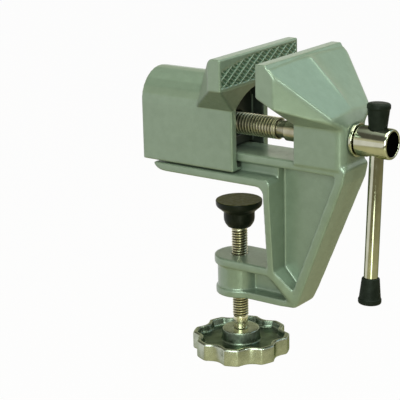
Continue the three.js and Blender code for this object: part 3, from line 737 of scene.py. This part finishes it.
def ridge_relief(place):
    """A crest along the middle of the fixed jaw's back"""
    start, end = Vector(RIDGE_START), Vector(RIDGE_END)
    along = (end - start).normalized()
    away = Vector((-along.y, along.x))
    from_start = Vector((place.x, place.z)) - start
    reach, height = from_start.dot(along), from_start.dot(away)
    if abs(height) > RIDGE_DEPTH or not 0 < reach < (end - start).length:
        return Vector()
    fade = min(reach / RIDGE_RISE, ((end - start).length - reach) / RIDGE_FALL, 1)
    crest = RIDGE_RELIEF * math.exp(-abs(place.y) / RIDGE_SPREAD)
    bead = RIDGE_BEAD * math.exp(-(place.y / RIDGE_BEAD_HALF) ** 2)
    lift = (crest + bead) * fade * (1 - abs(height) / RIDGE_DEPTH)
    return Vector((away.x, 0, away.y)) * lift


def frame_softness():
    """How far each place of the frame casting is softened, from 0 to 1"""
    low = corners("frame_casting")[0]
    foot = [v.co.x for v in frame["nodes"]["frame_casting"].data.vertices
            if v.co.z < (low[2] + HEEL_HEIGHT) * MM]
    heel = max(foot) / MM
    start, end = (Vector(point) for point in FLARE_EDGE)

    def nearness(place):
        at_flare = 1.5 - math.hypot(place.x - FLARE_FOOT[0],
                                    (place.z - FLARE_FOOT[1]) * FLARE_FOOT_STRETCH) / BLEND_REACH
        at_heel = 1.5 - math.hypot(place.x - heel, place.z - low[2]) / BLEND_REACH
        from_ledge = math.hypot(place.x - BACK_LEDGE[0], place.z - BACK_LEDGE[1])
        at_ledge = BACK_LEDGE_SOFTNESS * min(2 - from_ledge / BACK_LEDGE_REACH, 1)
        side = Vector((place.x, abs(place.y), place.z))
        along = min(max((side - start).dot(end - start) / (end - start).length_squared, 0), 1)
        from_edge = (side - start.lerp(end, along)).length
        at_edge = FLARE_EDGE_SOFTNESS * min(2 - from_edge / FLARE_EDGE_REACH, 1)
        return min(max(at_flare, at_heel, at_ledge, at_edge, 0), 1)

    return nearness


def moving_jaw(face, top):
    """The moving jaw's casting, with painted shade in its tunnel and under its wings"""
    jaw = casting("moving_jaw_body", "moving_jaw")
    cut(jaw, grip_pocket(face, 1, top))
    dressed(jaw, "jaw", "paint", PAINT, "moving_jaw", crease=CAST_CREASE)
    arch_centre = BODY_TOP - BODY_HALF
    left = corners("moving_jaw")[0][0]

    def inside(centre, normal):
        across = math.hypot(centre.y, max(centre.z - arch_centre, 0))
        along = left + INSIDE_START < centre.x < face - INSIDE_END
        return across < TUNNEL_HALF + INSIDE_SLACK and along and centre.z > INSIDE_FOOT

    def under_wings(centre, normal):
        return centre.z > arch_centre and normal.z < UNDERSIDE_SLOPE and not inside(centre, normal)

    # Painted shade: faces under the wings get the enamel at 0.7 of its colour
    finished(jaw, UNDERSIDE_SHADE_PAINT, under_wings)
    # Painted shade: the tunnel's faces get the enamel at 0.14 of its colour
    finished(jaw, TUNNEL_SHADE_PAINT, inside)


def mouth_rib():
    corner = Matrix.Translation((BULKHEAD_FRONT + RIB_INSET, TUNNEL_HALF - RIB_INSET, 0))
    outline = [(0, RIB_FOOT), (RIB_RADIUS, RIB_FOOT), (RIB_RADIUS, RIB_TOP), (0, RIB_TOP)]
    rib = spun("mouth_rib", outline, corner, RIB_SIDES)
    dressed(rib, "jaw", "paint", SHADED_PAINT)


def castings():
    top = corners("frame_casting")[1][2]
    moving_face = corners("moving_jaw")[1][0]
    fixed_face = moving_face + FIXED_OFFSET
    fixed = casting("frame_body", "frame_casting", frame_softness(), ridge_relief)
    cut(fixed, grip_pocket(fixed_face, -1, top))
    dressed(fixed, "frame", "paint", PAINT, "frame_casting", crease=CAST_CREASE)
    moving_jaw(moving_face, top)
    grip("fixed_jaw_grip", fixed_face, -1, top, "frame")
    grip("moving_jaw_grip", moving_face, 1, top, "jaw")
    mouth_rib()


# Lead screw, its head and the bar

def bar_cutter(radius):
    """Cutter for the bar's hole through the screw or its head"""
    length = 3 * HEAD_RADIUS
    hole = spun("cutter", [(0, -length), (radius, -length), (radius, length), (0, length)],
                Matrix.Rotation(math.radians(-BAR_TILT), 4, "X"), CUTTER_SIDES)
    hole.data.transform(Matrix.Translation((bar_centre[0] * MM, 0, screw_height * MM)))
    return hole


def lead_screw():
    low, high = corners("lead_screw")
    tip, end = low[0], high[0]
    neck_end = LEAD_THREAD_END + LEAD_NECK_LENGTH
    before = [(0, tip), (LEAD_RADIUS - TIP_CHAMFER, tip)]
    after = rounded([
        (LEAD_RADIUS, LEAD_THREAD_END, 0), (LEAD_NECK_RADIUS, LEAD_THREAD_END, 0.2),
        (LEAD_NECK_RADIUS, neck_end, 0.3), (LEAD_RADIUS, neck_end + 0.3, 0.2),
        (LEAD_RADIUS, end, 0), (0, end, 0)])[1:]
    rod = threaded("lead_screw_rod", before, (tip + PLAY, LEAD_THREAD_END), after, LEAD_RADIUS,
                   LEAD_PITCH, along_screw)
    cut(rod, bar_cutter(BAR_HOLE_RADIUS))
    dressed(rod, "screw", "steel", LEAD_STEEL, "lead_screw", crease=ROD_CREASE)

    def on_neck(centre, normal):
        return LEAD_THREAD_END + 0.2 < centre.x < neck_end + 0.1

    # Painted shade: the journal and the neck get darker copies of the steel
    finished(rod, JOURNAL_SHADE_STEEL, lambda centre, normal: centre.x > neck_end)
    finished(rod, NECK_SHADE_STEEL, on_neck)


def screw_head():
    low, high = corners("screw_head")
    plug_seat = high[0] - PLUG_THICKNESS - PLUG_GAP
    plug_bore = PLUG_RADIUS + PLAY
    sleeve = spun("screw_head_sleeve", rounded([
        (HEAD_BORE, low[0] + 0.4, 0), (HEAD_BORE, low[0], 0.3), (HEAD_RADIUS, low[0], 0.5),
        (HEAD_RADIUS, high[0], 1.3), (plug_bore, high[0], 0.25), (plug_bore, plug_seat, 0),
        (HEAD_BORE, plug_seat, 0), (HEAD_BORE, low[0] + 1, 0)], 6), along_screw)
    cut(sleeve, bar_cutter(HEAD_HOLE_RADIUS))
    dressed(sleeve, "screw", "chrome_plate", CHROME, "screw_head")
    low, high = corners("screw_head_plug")
    plug = spun("end_plug", rounded([
        (0, low[0], 0), (PLUG_RADIUS, low[0], 0.2), (PLUG_RADIUS, high[0], 0.4),
        (PLUG_RADIUS * PLUG_HOLLOW, high[0] - PLUG_RIM, 0.6), (0, high[0] - PLUG_RIM, 0)]), along_screw)
    dressed(plug, "screw", "black_plastic", PLUG_PLASTIC, "screw_head_plug")


def washer(name, node, radius, rounding, slot, finish):
    low, high = (corner[0] for corner in corners(node))
    middle = (low + high) / 2
    ring = spun(name, rounded([
        (WASHER_BORE, middle, 0), (WASHER_BORE, low, 0.15), (radius, low, rounding),
        (radius, high, rounding), (WASHER_BORE, high, 0.15), (WASHER_BORE, middle + 0.01, 0)]),
        along_screw)
    dressed(ring, "screw", slot, finish, node)


def tommy_bar():
    half = BAR_LENGTH / 2
    rod = spun("bar_rod", rounded([(0, -half, 0), (BAR_RADIUS, -half, 0.5), (BAR_RADIUS, half, 0.5),
                                   (0, half, 0)]), along_bar)
    dressed(rod, "handle", "chrome_plate", CHROME, "tommy_bar")


def bar_cap(name, node, start, flip):
    """Cap with its small end at the given place on the bar, flaring to a lip and a rounded end"""
    lip = CAP_LENGTH - CAP_LIP_HEIGHT
    outline = rounded([
        (0, CAP_BORE_DEPTH, 0), (CAP_BORE, CAP_BORE_DEPTH, 0), (CAP_BORE, 0, 0.15),
        (CAP_SMALL_RADIUS, 0, 0.35), (CAP_CONE_RADIUS, lip - 0.15, 0.2),
        (CAP_LIP_RADIUS, lip + 0.1, 0.25), (CAP_LIP_RADIUS, CAP_LENGTH, 1.5), (0, CAP_LENGTH, 0)], 6)
    profile = [(radius, start + place * flip) for radius, place in outline]
    dressed(spun(name, profile, along_bar), "handle", "rubber", RUBBER, node)


# Table clamp

def clamp_pad():
    low, high = corners("clamp_pad")
    bottom, top = low[2], high[2]
    centre = corners("clamp_screw")[1][2] - BALL_RADIUS
    socket = BALL_RADIUS + SOCKET_PLAY
    mouth = math.acos(PAD_MOUTH / socket)
    turns = [math.pi / 2 - (math.pi / 2 + mouth) * k / BALL_STEPS for k in range(1, BALL_STEPS + 1)]
    inside = [(socket * math.cos(a), centre + socket * math.sin(a)) for a in turns]
    outside = rounded([(PAD_MOUTH, bottom, 0)]
                      + [(radius, bottom + above, rounding) for radius, above, rounding in PAD_NECK]
                      + [(radius, top - below, rounding) for radius, below, rounding in PAD_PLATE], 5)
    pad = spun("pad_moulding", [(0, centre + socket)] + inside + outside)
    dressed(pad, "pad", "black_plastic", PLASTIC, "clamp_pad", crease=ROD_CREASE)

    def on_top(centre, normal):
        return normal.z > LEVEL and centre.z > top - PAD_TOP_LAYER

    # Painted reflection on the pad's level top faces
    finished(pad, PAD_TOP_REFLECTION, on_top)


def clamp_screw():
    low, high = corners("clamp_screw")
    ball = high[2] - BALL_RADIUS
    stub_end = low[2]
    thread_top = corners("clamp_pad")[0][2] - THREAD_GAP
    hub_top = corners("clamp_handwheel")[1][2]
    collar = hub_top + PLAY
    shank_top = hub_top + SHANK_LENGTH
    neck = math.acos(CLAMP_NECK_RADIUS / BALL_RADIUS)
    before = rounded([
        (0, stub_end, 0), (STUB_RADIUS, stub_end, 0.3), (STUB_RADIUS, collar, 0),
        (SHANK_RADIUS, collar, 0.1), (SHANK_RADIUS, shank_top - 0.4, 0.2)])
    before.append((SHANK_RADIUS, shank_top - 0.3))
    turns = [-neck + (math.pi / 2 + neck) * k / BALL_STEPS for k in range(BALL_STEPS)]
    after = [(CLAMP_NECK_RADIUS, thread_top)]
    after += [(BALL_RADIUS * math.cos(a), ball + BALL_RADIUS * math.sin(a)) for a in turns]
    after.append((0, high[2]))
    rod = threaded("clamp_screw_rod", before, (shank_top, thread_top), after, CLAMP_RADIUS,
                   CLAMP_PITCH, Matrix.Identity(4))
    dressed(rod, "clamp", "steel", CLAMP_STEEL, "clamp_screw", crease=ROD_CREASE)
    finished(rod, STEEL, lambda centre, normal: centre.z < shank_top)


def handwheel():
    low, high = corners("clamp_handwheel")
    bottom, hub_top = low[2], high[2]
    rim = hub_top - WHEEL_HUB_RISE
    web_top, web_bottom = rim - WHEEL_DISH, rim - WHEEL_DISH - WHEEL_WEB
    inner = WHEEL_RADIUS - WHEEL_RIM_WALL
    profile = rounded([
        (WHEEL_BORE, web_bottom + 0.5, 0), (WHEEL_BORE, web_bottom, 0.2),
        (WHEEL_HUB_RADIUS, web_bottom, 0), (inner - 1, web_bottom, 0.8), (inner, bottom, 0.4),
        (WHEEL_RADIUS, bottom, 0.7), (WHEEL_RADIUS, rim, 0.8), (inner, rim, 0.5),
        (inner - 0.5, web_top, 0.9), (WHEEL_HUB_RADIUS + 0.3, web_top, 0.7),
        (WHEEL_HUB_RADIUS, hub_top, 0.5), (SHANK_RADIUS + 0.4, hub_top, 0.3),
        (WHEEL_BORE, hub_top - 0.4, 0), (WHEEL_BORE, web_bottom + 0.6, 0)], 5)

    def radius_at(_, radius, place, angle):
        lobe = 2 * math.pi / WHEEL_LOBES
        from_notch = abs((angle + lobe / 2) % lobe - lobe / 2) / math.radians(WHEEL_FLUTE_HALF)
        reach = radius - WHEEL_HUB_RADIUS - FLUTE_FADE
        share = min(max(reach / (inner - WHEEL_HUB_RADIUS - 2 * FLUTE_FADE), 0), 1)
        return radius - WHEEL_NOTCH_DEPTH * max(1 - from_notch ** 2, 0) * share

    wheel = spun("handwheel_casting", profile, sides=WHEEL_SIDES, radius_at=radius_at)
    dressed(wheel, "clamp", "wheel_alloy", ALLOY, "clamp_handwheel")

    def in_dish(centre, normal):
        outward = Vector((centre.x, centre.y, 0)).normalized().dot(normal)
        on_hub = Vector((centre.x, centre.y)).length < WHEEL_HUB_RADIUS + HUB_MARGIN
        on_wall = outward < DISH_FACING
        is_low = centre.z < web_top + DISH_MARGIN
        on_floor = is_low and normal.z > DISH_UPWARD
        on_hub_side = on_hub and (is_low or normal.z < DISH_UPWARD)
        between_faces = web_bottom + DISH_EDGE < centre.z < hub_top - DISH_EDGE
        return between_faces and (on_wall or on_floor or on_hub_side)

    # The dish's faces get a darker, greener alloy than the rim
    finished(wheel, DISH_ALLOY, in_dish)


def bevelled(name, node, body, slot, finish, width):
    """A node's own solid with its edges broken"""
    piece = copied(name, node)
    edge = piece.modifiers.new("edge", "BEVEL")
    edge.width = width * MM
    edge.segments = 2
    edge.angle_limit = math.radians(BEVEL_ANGLE)
    dressed(settled(piece), body, slot, finish, node)


# Stage, light and camera

def floor():
    side = FLOOR_HALF
    below = cad_box[0].z / MM - FLOOR_DROP
    ground = new_piece("floor", [(-side, -side, below), (side, -side, below), (side, side, below),
                                 (-side, side, below)], [(0, 1, 2, 3)])
    made, tree, shader = material("floor", FLOOR_COLOUR, 0, 0.9, Specular_IOR_Level=0.1)
    angle = math.radians(CAMERA_AZIMUTH + MIRRORED_WHITE_TURN)
    away = add(tree, "ShaderNodeVectorMath", operation="DOT_PRODUCT")
    away.inputs[1].default_value = (-math.sin(angle), math.cos(angle), 0)
    tree.links.new(add(tree, "ShaderNodeTexCoord").outputs["Object"], away.inputs[0])
    fade = add(tree, "ShaderNodeMapRange", interpolation_type="SMOOTHSTEP")
    fade.inputs["From Min"].default_value = MIRRORED_WHITE_START * MM
    fade.inputs["From Max"].default_value = MIRRORED_WHITE_END * MM
    tree.links.new(away.outputs["Value"], fade.inputs["Value"])
    rays = add(tree, "ShaderNodeLightPath").outputs
    mirrored = combined(tree, "MULTIPLY", rays["Is Glossy Ray"], fade.outputs["Result"])
    seen = combined(tree, "MAXIMUM", rays["Is Camera Ray"], rays["Is Transmission Ray"])
    white = combined(tree, "MAXIMUM", seen, mirrored)
    blend = add(tree, "ShaderNodeMixShader")
    tree.links.new(combined(tree, "MULTIPLY", white, FLOOR_WHITE_SHARE), blend.inputs[0])
    tree.links.new(shader.outputs[0], blend.inputs[1])
    glow = add(tree, "ShaderNodeEmission", Color=(1, 1, 1, 1), Strength=1)
    tree.links.new(glow.outputs[0], blend.inputs[2])
    tree.links.new(blend.outputs[0], tree.nodes["Material Output"].inputs["Surface"])
    ground.data.materials.append(made)


def world():
    """Soft light that is warm low in the sky and dim at the horizon, where what is seen is white"""
    made = bpy.data.worlds.new("studio")
    made.use_nodes = True
    tree = made.node_tree
    split = add(tree, "ShaderNodeSeparateXYZ")
    tree.links.new(add(tree, "ShaderNodeTexCoord").outputs["Generated"], split.inputs["Vector"])
    height = split.outputs["Z"]
    sky = add(tree, "ShaderNodeValToRGB")
    stops = sky.color_ramp.elements
    stops.remove(stops[1])
    for start, colour in SKY:
        stops.new(start).color = (*colour, 1)
    stops[0].color = (*SKY[0][1], 1)
    tree.links.new(height, sky.inputs["Fac"])
    rays = add(tree, "ShaderNodeLightPath").outputs
    seen = combined(tree, "MAXIMUM", rays["Is Camera Ray"], rays["Is Glossy Ray"])
    seen = combined(tree, "MAXIMUM", seen, rays["Is Transmission Ray"])
    band = ramp(tree, height, 1, 0, WHITE_HORIZON_TOP, WHITE_HORIZON_TOP + WHITE_HORIZON_FADE)
    white = combined(tree, "MULTIPLY", seen, band)
    colour = mixed(tree, white, sky.outputs["Color"], (*WHITE_HORIZON, 1))
    tree.links.new(colour, tree.nodes["Background"].inputs["Color"])
    bpy.context.scene.world = made


def lamp(name, place, size, power, colour):
    """A square soft light that faces the middle of the vise"""
    light = bpy.data.lights.new(name, "AREA")
    light.shape = "SQUARE"
    light.size = size * MM
    light.energy = power
    light.color = colour
    holder = bpy.data.objects.new(name, light)
    holder.location = Vector(place) * MM
    target = (cad_box[0] + cad_box[1]) / 2
    holder.rotation_mode = "QUATERNION"
    holder.rotation_quaternion = (target - holder.location).to_track_quat("-Z", "Y")
    bpy.context.scene.collection.objects.link(holder)


def camera():
    """The photograph's camera, as solved"""
    azimuth, elevation, roll = (math.radians(angle) for angle in
                                (CAMERA_AZIMUTH, CAMERA_ELEVATION, CAMERA_ROLL))
    right = Vector((math.cos(azimuth), math.sin(azimuth), 0))
    forward = Vector((-math.sin(azimuth) * math.cos(elevation),
                      math.cos(azimuth) * math.cos(elevation), -math.sin(elevation)))
    down = forward.cross(right)
    centre = -(right * CAMERA_SHIFT_RIGHT + down * CAMERA_SHIFT_DOWN + forward * CAMERA_DISTANCE)
    centre.z += screw_height
    level = right * math.cos(roll) - down * math.sin(roll)
    drop = right * math.sin(roll) + down * math.cos(roll)
    turn = Matrix((level, -drop, -forward)).transposed()
    data = bpy.data.cameras.new("photo_camera")
    data.sensor_fit = "HORIZONTAL"
    data.sensor_width = SENSOR_WIDTH
    data.lens = SENSOR_WIDTH * FOCAL_PIXELS / PHOTO_SIDE
    data.clip_start, data.clip_end = CAMERA_CLIP
    holder = bpy.data.objects.new("photo_camera", data)
    holder.matrix_world = Matrix.Translation(centre * MM) @ turn.to_4x4()
    bpy.context.scene.collection.objects.link(holder)
    bpy.context.scene.camera = holder


camera()
castings()
lead_screw()
screw_head()
washer("thrust_washer_ring", "thrust_washer", THRUST_WASHER_RADIUS, 0.3, "chrome_plate", CHROME)
washer("clip_washer_ring", "clip_washer", CLIP_WASHER_RADIUS, 0.15, "steel", STEEL)
tommy_bar()
bar_cap("cap_upper", "tommy_bar_cap_upper", BAR_LENGTH / 2 + BAR_PLAY - CAP_BORE_DEPTH, 1)
bar_cap("cap_lower", "tommy_bar_cap_lower", -BAR_LENGTH / 2 - BAR_PLAY + CAP_BORE_DEPTH, -1)
clamp_pad()
clamp_screw()
handwheel()
bevelled("jaw_nut_block", "jaw_nut", "jaw", "steel", STEEL, NUT_BEVEL)
bevelled("snap_ring", "retaining_clip", "screw", "steel", STEEL, CLIP_BEVEL)
bevelled("wheel_nut", "handwheel_nut", "clamp", "steel", STEEL, NUT_BEVEL)
floor()
world()
for settings in LAMPS:
    lamp(*settings)
bpy.context.scene.view_settings.view_transform = "Standard"
